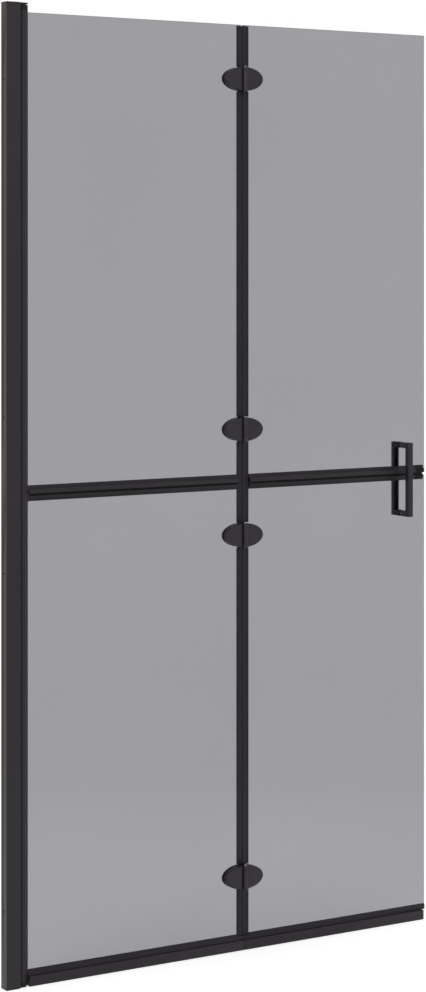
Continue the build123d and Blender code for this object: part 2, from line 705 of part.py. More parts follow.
def hinge_pins():
    with BuildPart() as pins:
        for z in HINGE_HEIGHTS:
            rod_along_z(z - HINGE_PIN_HALF, FOLD_X, FOLD_Y, HINGE_PIN_RADIUS, 2 * HINGE_PIN_HALF)
    keep(pins, "hinge_pins")


def hinge_bushes():
    """Plain bushes in the outer leaf's knuckles."""
    with BuildPart() as bushes:
        for z in HINGE_HEIGHTS:
            rod_along_z(z - KNUCKLE_HALF, FOLD_X, FOLD_Y, HINGE_BUSH_OUTER, 2 * KNUCKLE_HALF)
            rod_along_z(z - KNUCKLE_HALF, FOLD_X, FOLD_Y, HINGE_BUSH_INNER, 2 * KNUCKLE_HALF, Mode.SUBTRACT)
    keep(bushes, "hinge_bushes")


# Handle


def stud_heights():
    return (HANDLE_LOW + HANDLE_BAR / 2, HANDLE_HIGH - HANDLE_BAR / 2)


def handle_half(label, side):
    """Square bar bent to a U, standing off one face of the glass."""
    half = HANDLE_BAR / 2
    foot = GLASS_HALF + WASHER_THICK
    with BuildPart() as bar:
        with BuildSketch(Plane.YZ.offset(HANDLE_X - half)):
            outline = sorted((side * foot, side * HANDLE_REACH))
            with Locations((mid(outline), mid((HANDLE_LOW, HANDLE_HIGH)))):
                Rectangle(size(outline), HANDLE_HIGH - HANDLE_LOW)
            gap = sorted((side * foot, side * (HANDLE_REACH - HANDLE_BAR)))
            with Locations((mid(gap), mid((HANDLE_LOW, HANDLE_HIGH)))):
                Rectangle(size(gap), HANDLE_HIGH - HANDLE_LOW - 2 * HANDLE_BAR, mode=Mode.SUBTRACT)
        extrude(amount=HANDLE_BAR)
        outer_face = bar.faces().filter_by(Axis.Y).sort_by(Axis.Y)[0 if side < 0 else -1]
        chamfer(outer_face.edges(), HANDLE_CORNER)
        for z in stud_heights():
            start = side * foot if side < 0 else STUD_HALF
            rod_along_y(start, HANDLE_X, z, STUD_RADIUS, STUD_HALF - foot, Mode.SUBTRACT)
    keep(bar, label)


def handle_fixings():
    """Studs through the glass, and soft washers under the four feet."""
    with BuildPart() as studs:
        for z in stud_heights():
            rod_along_y(STUD_HALF, HANDLE_X, z, STUD_RADIUS, 2 * STUD_HALF)
    keep(studs, "handle_studs")
    with BuildPart() as washers:
        for z in stud_heights():
            for start in (GLASS_HALF + WASHER_THICK, -GLASS_HALF):
                rod_along_y(start, HANDLE_X, z, WASHER_RADIUS, WASHER_THICK)
                rod_along_y(start, HANDLE_X, z, STUD_RADIUS, WASHER_THICK, Mode.SUBTRACT)
    keep(washers, "handle_washers")


def build_wall_frame():
    plate_low = SCREEN_HEIGHT - PLATE_THICK
    lug_low = (PLATE_THICK, PLATE_THICK + LUG_HEIGHT)
    lug_high = (plate_low - LUG_HEIGHT, plate_low)
    lower = (PLATE_THICK, SPLIT_Z)
    upper = (SPLIT_Z, plate_low)
    lower_splice = splice_screw_heights(-1)
    upper_splice = splice_screw_heights(1)
    wall_profile("wall_profile_lower", lower, LOWER_WALL_SCREWS, lower_splice, LOWER_ADJUSTERS, mid(lug_low))
    wall_profile("wall_profile_upper", upper, UPPER_WALL_SCREWS, upper_splice, UPPER_ADJUSTERS, mid(lug_high))
    adjusting_profile("adjusting_profile_lower", lower, LOWER_ADJUSTERS)
    adjusting_profile("adjusting_profile_upper", upper, UPPER_ADJUSTERS)
    splice()
    adjuster_screws()
    bearing_plate("bottom_bearing_plate", (0, PLATE_THICK), False, lug_low, mid(lug_low))
    bearing_plate("top_bearing_plate", (plate_low, SCREEN_HEIGHT), True, lug_high, mid(lug_high))
    bearing_plate_screws((mid(lug_low), mid(lug_high)))
    pivot_bushes()


def build_inner_leaf():
    profile_low = LEAF_BOTTOM + BOTTOM_BLOCK_HEIGHT
    profile_high = LEAF_TOP - TOP_BLOCK_HEIGHT
    pin_low = SCREEN_HEIGHT - PIVOT_PIN_LENGTH
    bottom_tongue = (profile_low, profile_low + BOTTOM_TONGUE)
    top_tongue = (profile_high - TOP_TONGUE, profile_high)
    pivot_profile("pivot_profile_lower", (profile_low, COUPLER_LOW), COUPLER_LOW - SPIGOT_REACH)
    pivot_profile("pivot_profile_upper", (COUPLER_HIGH, profile_high), COUPLER_HIGH)
    pivot_block("bottom_pivot_block", (LEAF_BOTTOM, profile_low), bottom_tongue, 0)
    pivot_block("top_pivot_block", (profile_high, LEAF_TOP), top_tongue, pin_low)
    pivot_pins((0, pin_low))
    pivot_coupler()
    pivot_gaskets()
    leaf_glass("inner", INNER, (INNER_GLASS_START, FOLD_X - FOLD_GLASS_INSET), ())
    rail_x = (LEAF_START, rail_fold_end(INNER))
    glazing_rail("inner_rail_upper", rail_x, UPPER_FLANGE_Z, UPPER_BEAD_Z, BEAD_HALF, UPPER_SLOT_Z)
    glazing_rail("inner_rail_lower", rail_x, LOWER_FLANGE_Z, LOWER_BEAD_Z, LOWER_BEAD_HALF, LOWER_SLOT_Z)
    rail_gaskets("inner_rail_gaskets", rail_x)
    rail_spline("inner_rail_spline", (LEAF_START, FOLD_X - FOLD_GLASS_INSET))
    bottom_end = FOLD_X - SEAL_FOLD_GAP
    bottom_profile("inner_bottom_profile", (LEAF_START, bottom_end), bottom_end, INNER)
    bottom_gasket("inner_bottom_gasket", rail_x)
    sweep_seal("inner_sweep_seal", (LEAF_START, bottom_end))
    edge_seal("inner_edge_seal", INNER)


def build_outer_leaf():
    rail_x = (rail_fold_end(OUTER), END_CAP_START)
    leaf_glass("outer", OUTER, (FOLD_X + FOLD_GLASS_INSET, SCREEN_WIDTH), stud_heights())
    glazing_rail("outer_rail_upper", rail_x, UPPER_FLANGE_Z, UPPER_BEAD_Z, BEAD_HALF, UPPER_SLOT_Z)
    glazing_rail("outer_rail_lower", rail_x, LOWER_FLANGE_Z, LOWER_BEAD_Z, LOWER_BEAD_HALF, LOWER_SLOT_Z)
    rail_gaskets("outer_rail_gaskets", rail_x)
    rail_spline("outer_rail_spline", (FOLD_X + FOLD_GLASS_INSET, END_CAP_START))
    rail_end_cap("outer_rail_end_cap")
    bottom_start = FOLD_X + SEAL_FOLD_GAP
    bottom_profile("outer_bottom_profile", (bottom_start, BOTTOM_FLANGE_END), BOTTOM_BODY_END, OUTER)
    bottom_gasket("outer_bottom_gasket", (rail_x[0], BOTTOM_FLANGE_END))
    sweep_seal("outer_sweep_seal", (bottom_start, BOTTOM_BODY_END))
    edge_seal("outer_edge_seal", OUTER)
    handle_half("handle_front", -1)
    handle_half("handle_back", 1)
    handle_fixings()


def build_hinges():
    end_low = KNUCKLE_HALF + KNUCKLE_GAP
    inner_knuckles = ((-BARREL_HALF, -end_low), (end_low, BARREL_HALF))
    outer_knuckle = ((-KNUCKLE_HALF, KNUCKLE_HALF),)
    for number, z in enumerate(HINGE_HEIGHTS, start=1):
        hinge_plate(f"hinge_{number}_inner_plate", INNER, z, inner_knuckles, HINGE_PIN_RADIUS)
        hinge_plate(f"hinge_{number}_outer_plate", OUTER, z, outer_knuckle, HINGE_BUSH_OUTER)
    for name, side in (("inner", INNER), ("outer", OUTER)):
        clamp_plates(f"{name}_clamp_plates", side)
        hinge_gaskets(f"{name}_hinge_gaskets", side)
        hinge_screws(f"{name}_hinge_screws", side)
    hinge_pins()
    hinge_bushes()


build_wall_frame()
build_inner_leaf()
build_outer_leaf()
build_hinges()
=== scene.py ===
"""Folding walk-in shower screen in smoked glass and black metal: finish, dressed pieces and stage."""

import json
import math

import bmesh
import bpy
from bpy.props import FloatProperty, FloatVectorProperty, IntProperty, PointerProperty
from mathutils import Matrix, Vector


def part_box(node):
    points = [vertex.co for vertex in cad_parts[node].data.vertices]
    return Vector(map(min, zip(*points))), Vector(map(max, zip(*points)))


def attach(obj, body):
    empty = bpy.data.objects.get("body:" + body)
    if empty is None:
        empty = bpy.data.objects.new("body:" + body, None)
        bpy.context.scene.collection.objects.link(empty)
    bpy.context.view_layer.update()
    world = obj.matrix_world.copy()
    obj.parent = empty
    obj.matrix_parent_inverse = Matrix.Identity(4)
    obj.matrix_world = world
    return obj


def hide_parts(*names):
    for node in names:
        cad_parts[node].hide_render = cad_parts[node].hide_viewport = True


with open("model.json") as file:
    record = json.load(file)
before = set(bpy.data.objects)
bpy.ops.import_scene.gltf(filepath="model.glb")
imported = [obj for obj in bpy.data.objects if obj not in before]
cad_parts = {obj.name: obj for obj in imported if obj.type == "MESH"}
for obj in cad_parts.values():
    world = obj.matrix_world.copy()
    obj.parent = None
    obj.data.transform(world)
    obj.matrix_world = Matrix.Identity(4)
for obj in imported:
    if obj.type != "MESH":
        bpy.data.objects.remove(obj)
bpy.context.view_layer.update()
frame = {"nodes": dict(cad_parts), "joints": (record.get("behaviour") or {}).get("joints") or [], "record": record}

bl_info = {
    "name": "Shower Screen Dressing",
    "version": (1, 0, 0),
    "blender": (4, 5, 0),
    "location": "View3D > Sidebar > Shower Screen",
    "description": "Dresses a folding shower screen with glass, black metal, seals and a photo stage",
    "category": "Object",
}

MM = 0.001

FOLD_JOINT = next(joint for joint in frame["joints"] if joint["name"] == "fold_hinge")
FOLD_X, FOLD_Y = FOLD_JOINT["pos_m"][0], FOLD_JOINT["pos_m"][1]
NODE_SLOTS = {entry["node"]: entry["material_slot"] for entry in frame["record"]["subparts"]}
BODY_NODES = frame["record"]["behaviour"]["bodies"]
NODE_BODIES = {node: body for body, nodes in BODY_NODES.items() for node in nodes}
HINGE_COUNT = 4

# Hinge and screw sizes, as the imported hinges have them
HINGE_HALF_HEIGHT = 24.4 * MM
HINGE_FRONT = -14.3 * MM
HINGE_EDGE = {"inner": 9 * MM, "outer": 5.6 * MM}
CUT_ROUND = {"inner": 0.7 * MM, "outer": 0.15 * MM}
BARREL_RADIUS = 4.75 * MM
BARREL_ROUND = 0.5 * MM
KNUCKLES = {
    "inner": ((-26.4 * MM, -19.4 * MM), (19.4 * MM, 25.4 * MM)),
    "outer": ((-19.0 * MM, 19.0 * MM),),
}
NECK_Y = {"inner": (-13.0 * MM, -11.0 * MM), "outer": (-14.28 * MM, -11.0 * MM)}
NECK_HALF = 23.4 * MM
NECK_LAP = 1 * MM
LEDGE_GAP = 4.9 * MM
LEDGE_Y = (-12.98 * MM, -11.02 * MM)
LEDGE_HALF = 23.3 * MM
PIN_SPAN = (-19.4 * MM, 26.4 * MM)
PIN_RADIUS = 2.5 * MM
PIN_DOME = 0.8 * MM
SCREW_X = 27 * MM
SCREW_RISES = (-9 * MM, 9 * MM)
SCREW_BACK = 8.3 * MM
SCREW_LENGTH = 19.6 * MM
SCREW_RADIUS = 2.5 * MM
SCREW_HEAD = (4.2 * MM, 1.8 * MM, 1.7 * MM)

# Socket floor and rounded shoulder, as parts of a screw head's height and radius
SOCKET_FLOOR = 0.35
SHOULDER_RADIUS = 0.9
SHOULDER_HEIGHT = 0.85

# Painted shade on the faces next to the glass, such as the rails' lips, deepest nearest the glass; the wall frame
# gets none
LEAF_START = 50.3 * MM
LIP_DEPTHS = (4.9 * MM, 9.2 * MM)
LIP_PAINTED_SHADE = 0.3

# Surfaces
COAT_SHEEN = (1.0, 0.9, 1.0, 1.0)
SOFT_SPECULAR = 0.3
PLASTIC_SPECULAR = 0.2
STRIP_ROUGHNESS = 0.5
COAT_PEEL = 0.03 * MM
MOULD_PEEL = 0.02 * MM
POLISH_PEEL = 0.01 * MM
FRAME_CLOUDS = 120 * MM
HARDWARE_CLOUDS = 40 * MM
STRIP_CLOUDS = 80 * MM
RUBBER_DUST = 20 * MM
RUBBER_LINES = 0.6 * MM
PLASTIC_FLOW = 30 * MM
PLASTIC_GRAIN = 0.5 * MM
TURNING_MARKS = 1.2 * MM
MARK_STRETCH = (1, 1, 12)
GLASS_CLOUDS = 350 * MM
GLASS_WAVES = 120 * MM
RUBBER_BLACK = (0.014, 0.014, 0.014)
PLASTIC_BLACK = (0.008, 0.008, 0.008)
STEEL_SHADES = ((0.5, 0.5, 0.49), (0.64, 0.64, 0.63))
GLASS_IOR = 1.5

# Mesh tolerances and bevel steps
WELD = 0.002 * MM
CUT_WELD = 0.001 * MM
ON_PLANE = 0.01 * MM
FLAT_ANGLE = math.radians(0.5)
OVAL_ROUND_STEPS = 7
ROUND_STEPS = 3

# Stage
WHITE = (1, 1, 1, 1)
FLOOR_PLACE = (0.5, 0, -0.5 * MM)
FLOOR_WHITE = (0.9, 0.9, 0.9, 1)
FLOOR_GLOW = 0.5
FLOOR_FADE = (0.6, 0.6, 0.6)
SENSOR_WIDTH = 36.0
LAMP_TARGET = (0.5, 0, 0.95)
LAMPS = (
    ("window_left", (-4.0, -2.5, 2.8), 1.0, 42),
    ("soft_front", (0.6, -5.0, 3.4), 2.6, 15),
)

# Profiles, rails, strips and blocks whose edges are rounded
SOFTENED = (
    "wall_profile_lower", "wall_profile_upper", "pivot_profile_lower", "pivot_profile_upper",
    "inner_rail_upper", "inner_rail_lower", "outer_rail_upper", "outer_rail_lower",
    "inner_bottom_profile", "outer_bottom_profile", "inner_edge_seal", "outer_edge_seal",
    "top_bearing_plate", "bottom_bearing_plate", "outer_rail_end_cap", "pivot_coupler",
    "top_pivot_block", "bottom_pivot_block", "adjusting_profile_lower", "adjusting_profile_upper",
)


class ScreenFinish(bpy.types.PropertyGroup):
    """Colours and surface of the screen's materials."""

    frame_black: FloatVectorProperty(
        name="Frame black", description="Colour of the coated profiles", subtype="COLOR",
        default=(0.0142, 0.0127, 0.0143),
    )
    hardware_black: FloatVectorProperty(
        name="Hardware black", description="Colour of hinges and handle", subtype="COLOR",
        default=(0.0178, 0.0158, 0.0201),
    )
    seal_black: FloatVectorProperty(
        name="Seal black", description="Colour of the upright strips at the fold", subtype="COLOR",
        default=(0.0062, 0.0052, 0.0084),
    )
    glass_tint: FloatVectorProperty(
        name="Glass tint", description="Smoke colour of the glass", subtype="COLOR",
        default=(0.313, 0.31, 0.329),
    )
    frame_roughness: FloatProperty(
        name="Frame roughness", description="Roughness of the powder coat", subtype="FACTOR",
        default=0.42,
    )
    hardware_roughness: FloatProperty(
        name="Hardware roughness", description="Roughness of hinges and handle", subtype="FACTOR",
        default=0.27,
    )
    grain: FloatProperty(
        name="Coat grain", description="Size of one grain of the coat", unit="LENGTH", default=0.0009
    )


class ScreenSizes(bpy.types.PropertyGroup):
    """Sizes of the dressed pieces that a user would change."""

    edge_round: FloatProperty(
        name="Edge rounding", description="Rounding along the profile edges", unit="LENGTH",
        default=0.0004,
    )
    hinge_round: FloatProperty(
        name="Hinge rounding", description="Rounding of the oval front", unit="LENGTH", default=0.0046
    )
    handle_round: FloatProperty(
        name="Handle rounding", description="Rounding of the handle bar's edges", unit="LENGTH",
        default=0.0009,
    )
    oval_steps: IntProperty(name="Oval steps", description="Corners round a hinge's oval", default=144)


class ScreenStage(bpy.types.PropertyGroup):
    """Camera, floor and light."""

    camera_place: FloatVectorProperty(
        name="Camera place", description="Where the camera stands", subtype="TRANSLATION",
        default=(-2.1724, -4.2885, 1.3983),
    )
    camera_turn: FloatProperty(
        name="Camera turn", description="Turn of the level camera from +Y towards +X", subtype="ANGLE",
        default=math.radians(31.664),
    )
    lens: FloatProperty(
        name="Lens", description="Focal length on a 36 mm sensor", unit="CAMERA", default=90.40,
    )
    shift: FloatProperty(
        name="Shift", description="Upright shift that sets the horizon", default=-0.2354,
    )
    room_light: FloatProperty(
        name="Room light", description="Strength of the room's own light", default=0.72,
    )
    floor_radius: FloatProperty(
        name="Floor radius", description="Radius of the floor", unit="LENGTH", default=9.0,
    )


# Material nodes


def empty_material(name):
    material = bpy.data.materials.new(name)
    material.use_nodes = True
    tree = material.node_tree
    tree.nodes.clear()
    output = tree.nodes.new("ShaderNodeOutputMaterial")
    shader = tree.nodes.new("ShaderNodeBsdfPrincipled")
    tree.links.new(shader.outputs["BSDF"], output.inputs["Surface"])
    return material, tree, shader


def object_noise(tree, size, detail=2.0, stretch=(1, 1, 1)):
    """Noise on Object coordinates, with grains of the given size in metres."""
    place = tree.nodes.new("ShaderNodeTexCoord")
    mapping = tree.nodes.new("ShaderNodeMapping")
    mapping.inputs["Scale"].default_value = stretch
    noise = tree.nodes.new("ShaderNodeTexNoise")
    noise.inputs["Scale"].default_value = 1 / size
    noise.inputs["Detail"].default_value = detail
    tree.links.new(place.outputs["Object"], mapping.inputs["Vector"])
    tree.links.new(mapping.outputs["Vector"], noise.inputs["Vector"])
    return noise.outputs["Fac"]


def ramp(tree, factor, low, high, start=0.3, end=0.7):
    """Blends two colours by a factor."""
    node = tree.nodes.new("ShaderNodeValToRGB")
    node.color_ramp.elements[0].position = start
    node.color_ramp.elements[0].color = (*low, 1)
    node.color_ramp.elements[1].position = end
    node.color_ramp.elements[1].color = (*high, 1)
    tree.links.new(factor, node.inputs["Fac"])
    return node.outputs["Color"]


def spread(tree, factor, low, high, start=0.0, end=1.0):
    """Maps a factor between start and end to a range of values."""
    node = tree.nodes.new("ShaderNodeMapRange")
    node.inputs["From Min"].default_value = start
    node.inputs["From Max"].default_value = end
    node.inputs["To Min"].default_value = low
    node.inputs["To Max"].default_value = high
    tree.links.new(factor, node.inputs["Value"])
    return node.outputs["Result"]


def calculated(tree, operation, first, second=0.0):
    """A Math node on sockets or numbers."""
    node = tree.nodes.new("ShaderNodeMath")
    node.operation = operation
    for socket, value in zip(node.inputs, (first, second)):
        if isinstance(value, bpy.types.NodeSocket):
            tree.links.new(value, socket)
        else:
            socket.default_value = value
    return node.outputs[0]


def bump(tree, shader, height, depth, strength=1.0):
    node = tree.nodes.new("ShaderNodeBump")
    node.inputs["Distance"].default_value = depth
    node.inputs["Strength"].default_value = strength
    tree.links.new(height, node.inputs["Height"])
    tree.links.new(node.outputs["Normal"], shader.inputs["Normal"])


def shaded(colour, factor):
    return tuple(channel * factor for channel in colour)


def clouded(tree, factor, colour, low, high):
    """A colour that varies between two shades of itself."""
    return ramp(tree, factor, shaded(colour, low), shaded(colour, high))


def painted_lip_shade(tree, colour):
    """Paints shade onto the coat on the faces near the glass, such as the lips, deepest nearest the glass, and
    leaves the wall frame as it is.
    """
    place = tree.nodes.new("ShaderNodeTexCoord")
    split = tree.nodes.new("ShaderNodeSeparateXYZ")
    tree.links.new(place.outputs["Object"], split.inputs["Vector"])
    depth = calculated(tree, "ABSOLUTE", split.outputs["Y"])
    lit = spread(tree, depth, LIP_PAINTED_SHADE, 1.0, *LIP_DEPTHS)
    wall_side = calculated(tree, "LESS_THAN", split.outputs["X"], LEAF_START)
    scaled = tree.nodes.new("ShaderNodeVectorMath")
    scaled.operation = "SCALE"
    tree.links.new(colour, scaled.inputs[0])
    tree.links.new(calculated(tree, "MAXIMUM", lit, wall_side), scaled.inputs["Scale"])
    return scaled.outputs["Vector"]


def powder_coat(name, colour, roughness, grain, clouds, paint_lip_shade=False):
    """Black powder coat: fine orange peel, faint clouds in colour and gloss, and painted shade on the lips next to
    the glass when asked for.
    """
    material, tree, shader = empty_material(name)
    broad = object_noise(tree, clouds, 3.0)
    fine = object_noise(tree, grain, 2.0)
    coat = clouded(tree, broad, colour, 0.88, 1.14)
    # Painted shade on the lips next to the glass, when asked for
    tree.links.new(painted_lip_shade(tree, coat) if paint_lip_shade else coat, shader.inputs["Base Color"])
    tree.links.new(spread(tree, fine, roughness - 0.05, roughness + 0.05), shader.inputs["Roughness"])
    bump(tree, shader, fine, COAT_PEEL)
    shader.inputs["Specular IOR Level"].default_value = SOFT_SPECULAR
    shader.inputs["Specular Tint"].default_value = COAT_SHEEN
    return material


def soft_rubber(name, colour):
    """Matt rubber with dust and a fine grain."""
    material, tree, shader = empty_material(name)
    dust = object_noise(tree, RUBBER_DUST, 4.0)
    lines = object_noise(tree, RUBBER_LINES, 2.0)
    tree.links.new(clouded(tree, dust, colour, 0.8, 1.25), shader.inputs["Base Color"])
    tree.links.new(spread(tree, dust, 0.62, 0.78), shader.inputs["Roughness"])
    bump(tree, shader, lines, MOULD_PEEL)
    shader.inputs["Specular IOR Level"].default_value = SOFT_SPECULAR
    return material


def moulded_plastic(name, colour):
    """Black moulded plastic with a spark-eroded surface."""
    material, tree, shader = empty_material(name)
    flow = object_noise(tree, PLASTIC_FLOW, 2.0)
    texture = object_noise(tree, PLASTIC_GRAIN, 1.0)
    tree.links.new(clouded(tree, flow, colour, 0.9, 1.12), shader.inputs["Base Color"])
    tree.links.new(spread(tree, texture, 0.45, 0.6), shader.inputs["Roughness"])
    bump(tree, shader, texture, MOULD_PEEL)
    shader.inputs["Specular IOR Level"].default_value = PLASTIC_SPECULAR
    return material


def brushed_steel(name):
    """Stainless steel with turning marks."""
    material, tree, shader = empty_material(name)
    marks = object_noise(tree, TURNING_MARKS, 3.0, MARK_STRETCH)
    tree.links.new(ramp(tree, marks, *STEEL_SHADES), shader.inputs["Base Color"])
    tree.links.new(spread(tree, marks, 0.2, 0.34), shader.inputs["Roughness"])
    bump(tree, shader, marks, POLISH_PEEL)
    shader.inputs["Metallic"].default_value = 1.0
    return material


def smoked_glass(name, tint):
    """Smoke grey glass: very faint clouds in the tint and a rolled surface."""
    material, tree, shader = empty_material(name)
    clouds = object_noise(tree, GLASS_CLOUDS, 1.0)
    waves = object_noise(tree, GLASS_WAVES, 0.0)
    tree.links.new(clouded(tree, clouds, tint, 0.985, 1.015), shader.inputs["Base Color"])
    bump(tree, shader, waves, POLISH_PEEL, 0.5)
    shader.inputs["Transmission Weight"].default_value = 1.0
    shader.inputs["Roughness"].default_value = 0.0
    shader.inputs["IOR"].default_value = GLASS_IOR
    return material


def make_materials(finish):
    return {
        # The frame coat carries painted shade on its lips next to the glass
        "black_frame": powder_coat(
            "black_frame", finish.frame_black, finish.frame_roughness,
            finish.grain, FRAME_CLOUDS, paint_lip_shade=True,
        ),
        "black_hardware": powder_coat(
            "black_hardware", finish.hardware_black, finish.hardware_roughness,
            finish.grain * 0.7, HARDWARE_CLOUDS,
        ),
        "black_seal": powder_coat(
            "black_seal", finish.seal_black, STRIP_ROUGHNESS, finish.grain * 0.6, STRIP_CLOUDS
        ),
        "tinted_glass": smoked_glass("tinted_glass", finish.glass_tint),
        "black_rubber": soft_rubber("black_rubber", RUBBER_BLACK),
        "stainless_steel": brushed_steel("stainless_steel"),
        "black_plastic": moulded_plastic("black_plastic", PLASTIC_BLACK),
    }


MATERIALS = {}


# Mesh helpers


def add_piece(name, bm, slot_name, body, nodes=(), smooth_angle=35):
    """Turns a bmesh into a piece that rides on a body and stands for CAD nodes."""
    limit = math.radians(smooth_angle)
    for face in bm.faces:
        face.smooth = True
    for edge in bm.edges:
        edge.smooth = edge.is_manifold and edge.calc_face_angle() < limit
    mesh = bpy.data.meshes.new(name)
    bm.to_mesh(mesh)
    bm.free()
    mesh.materials.append(MATERIALS[slot_name])
    piece = bpy.data.objects.new(name, mesh)
    bpy.context.scene.collection.objects.link(piece)
    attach(piece, body)
    if nodes:
        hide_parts(*nodes)
    return piece


def merged_copy(node):
    """A bmesh of a CAD node with its loose triangles joined and its flats made whole."""
    bm = bmesh.new()
    bm.from_mesh(frame["nodes"][node].data)
    bmesh.ops.remove_doubles(bm, verts=bm.verts, dist=WELD)
    bmesh.ops.dissolve_limit(bm, angle_limit=FLAT_ANGLE, verts=bm.verts, edges=bm.edges)
    return bm


def bevel_edges(bm, edges, width, segments=ROUND_STEPS):
    """Rounds the given edges."""
    bmesh.ops.bevel(
        bm, geom=list(edges), offset=width, offset_type="OFFSET", segments=segments, profile=0.5,
        affect="EDGES", clamp_overlap=True, material=-1,
    )


def soften(bm, width, segments=2, angle=40):
    """Rounds every edge sharper than the angle."""
    limit = math.radians(angle)
    edges = [edge for edge in bm.edges if edge.is_manifold and edge.calc_face_angle() > limit]
    bevel_edges(bm, edges, width, segments)


def verts_of(step):
    """The vertices that an extrusion made."""
    return [part for part in step["geom"] if isinstance(part, bmesh.types.BMVert)]


def cut(bm, point, normal, clear_outer=False):
    """Cuts the whole mesh by a plane, and can drop what lies beyond it."""
    bmesh.ops.bisect_plane(
        bm, geom=bm.verts[:] + bm.edges[:] + bm.faces[:], dist=CUT_WELD,
        plane_co=point, plane_no=normal, clear_outer=clear_outer,
    )


def placed_box(bm, centre, size):
    """A box by its centre and size."""
    made = bmesh.ops.create_cube(bm, size=1.0)
    shape = Matrix.Translation(centre) @ Matrix.Diagonal((*size, 1))
    bmesh.ops.transform(bm, matrix=shape, verts=made["verts"])


def disc(bm, centre, axis, radius, steps=48):
    """A capped circle whose normal is the axis; returns its face."""
    turn = Vector((0, 0, 1)).rotation_difference(Vector(axis)).to_matrix().to_4x4()
    place = Matrix.Translation(centre) @ turn
    made = bmesh.ops.create_circle(bm, cap_ends=True, radius=radius, segments=steps, matrix=place)
    return made["verts"][0].link_faces[0]


def pushed(bm, face, vector):
    """Extrudes one face by a vector, closes the back, and returns the moved face."""
    rim = list(face.edges)
    moved = bmesh.ops.extrude_face_region(bm, geom=[face])
    bmesh.ops.translate(bm, verts=verts_of(moved), vec=vector)
    bmesh.ops.holes_fill(bm, edges=[edge for edge in rim if edge.is_valid and edge.is_boundary], sides=0)
    return next(part for part in moved["geom"] if isinstance(part, bmesh.types.BMFace))


def rod(bm, start, axis, length, radius, chamfer=0.0, steps=48):
    """A round rod from start along the axis, with its far rim softened."""
    face = disc(bm, start, axis, radius, steps)
    top = pushed(bm, face, Vector(axis) * length)
    if chamfer:
        bevel_edges(bm, top.edges, chamfer)


def socket_screw(bm, centre, axis, head_radius, head_height, socket_radius):
    """A screw head with a hexagon socket; centre lies on the surface under the head."""
    axis = Vector(axis)
    steps = 24
    turn = Vector((0, 0, 1)).rotation_difference(axis).to_matrix().to_4x4()
    place = Matrix.Translation(Vector(centre)) @ turn
    floor_height = head_height * SOCKET_FLOOR
    ring = bmesh.ops.create_circle(bm, cap_ends=True, radius=socket_radius, segments=steps)["verts"]
    floor_face = ring[0].link_faces[0]
    sixth = math.pi / 3
    for vert in ring:
        off_flat = math.atan2(vert.co.y, vert.co.x) % sixth - sixth / 2
        vert.co *= math.cos(sixth / 2) / math.cos(off_flat)
        vert.co.z = floor_height
    new_verts = set(ring)
    edges = list(floor_face.edges)
    for radius, height in (
        (None, head_height),
        (head_radius * SHOULDER_RADIUS, head_height),
        (head_radius, head_height * SHOULDER_HEIGHT),
        (head_radius, 0.0),
    ):
        step = bmesh.ops.extrude_edge_only(bm, edges=edges)
        edges = [part for part in step["geom"] if isinstance(part, bmesh.types.BMEdge)]
        moved = verts_of(step)
        for vert in moved:
            if radius is not None:
                flat = Vector((vert.co.x, vert.co.y, 0)).normalized() * radius
                vert.co.x, vert.co.y = flat.x, flat.y
            vert.co.z = height
        new_verts.update(moved)
    bmesh.ops.contextual_create(bm, geom=edges)
    bmesh.ops.transform(bm, matrix=place, verts=list(new_verts))


def close_up(bm):
    """Joins loose corners and turns every face outwards."""
    bmesh.ops.remove_doubles(bm, verts=bm.verts, dist=WELD)
    bmesh.ops.recalc_face_normals(bm, faces=bm.faces)


# Operators


class SHOWER_OT_finish_frame(bpy.types.Operator):
    """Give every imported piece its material"""

    bl_idname = "shower.finish_frame"
    bl_label = "Finish frame"

    def execute(self, context):
        MATERIALS.update(make_materials(context.scene.screen_finish))
        for node, slot_name in NODE_SLOTS.items():
            mesh = frame["nodes"][node].data
            mesh.materials.clear()
            mesh.materials.append(MATERIALS[slot_name])
        return {"FINISHED"}


class SHOWER_OT_soften_profiles(bpy.types.Operator):
    """Round the long edges of the visible profiles, rails and strips"""

    bl_idname = "shower.soften_profiles"
    bl_label = "Soften profiles"

    def execute(self, context):
        width = context.scene.screen_sizes.edge_round
        for node in SOFTENED:
            bm = merged_copy(node)
            soften(bm, width)
            add_piece(f"soft_{node}", bm, NODE_SLOTS[node], NODE_BODIES[node], (node,))
        return {"FINISHED"}


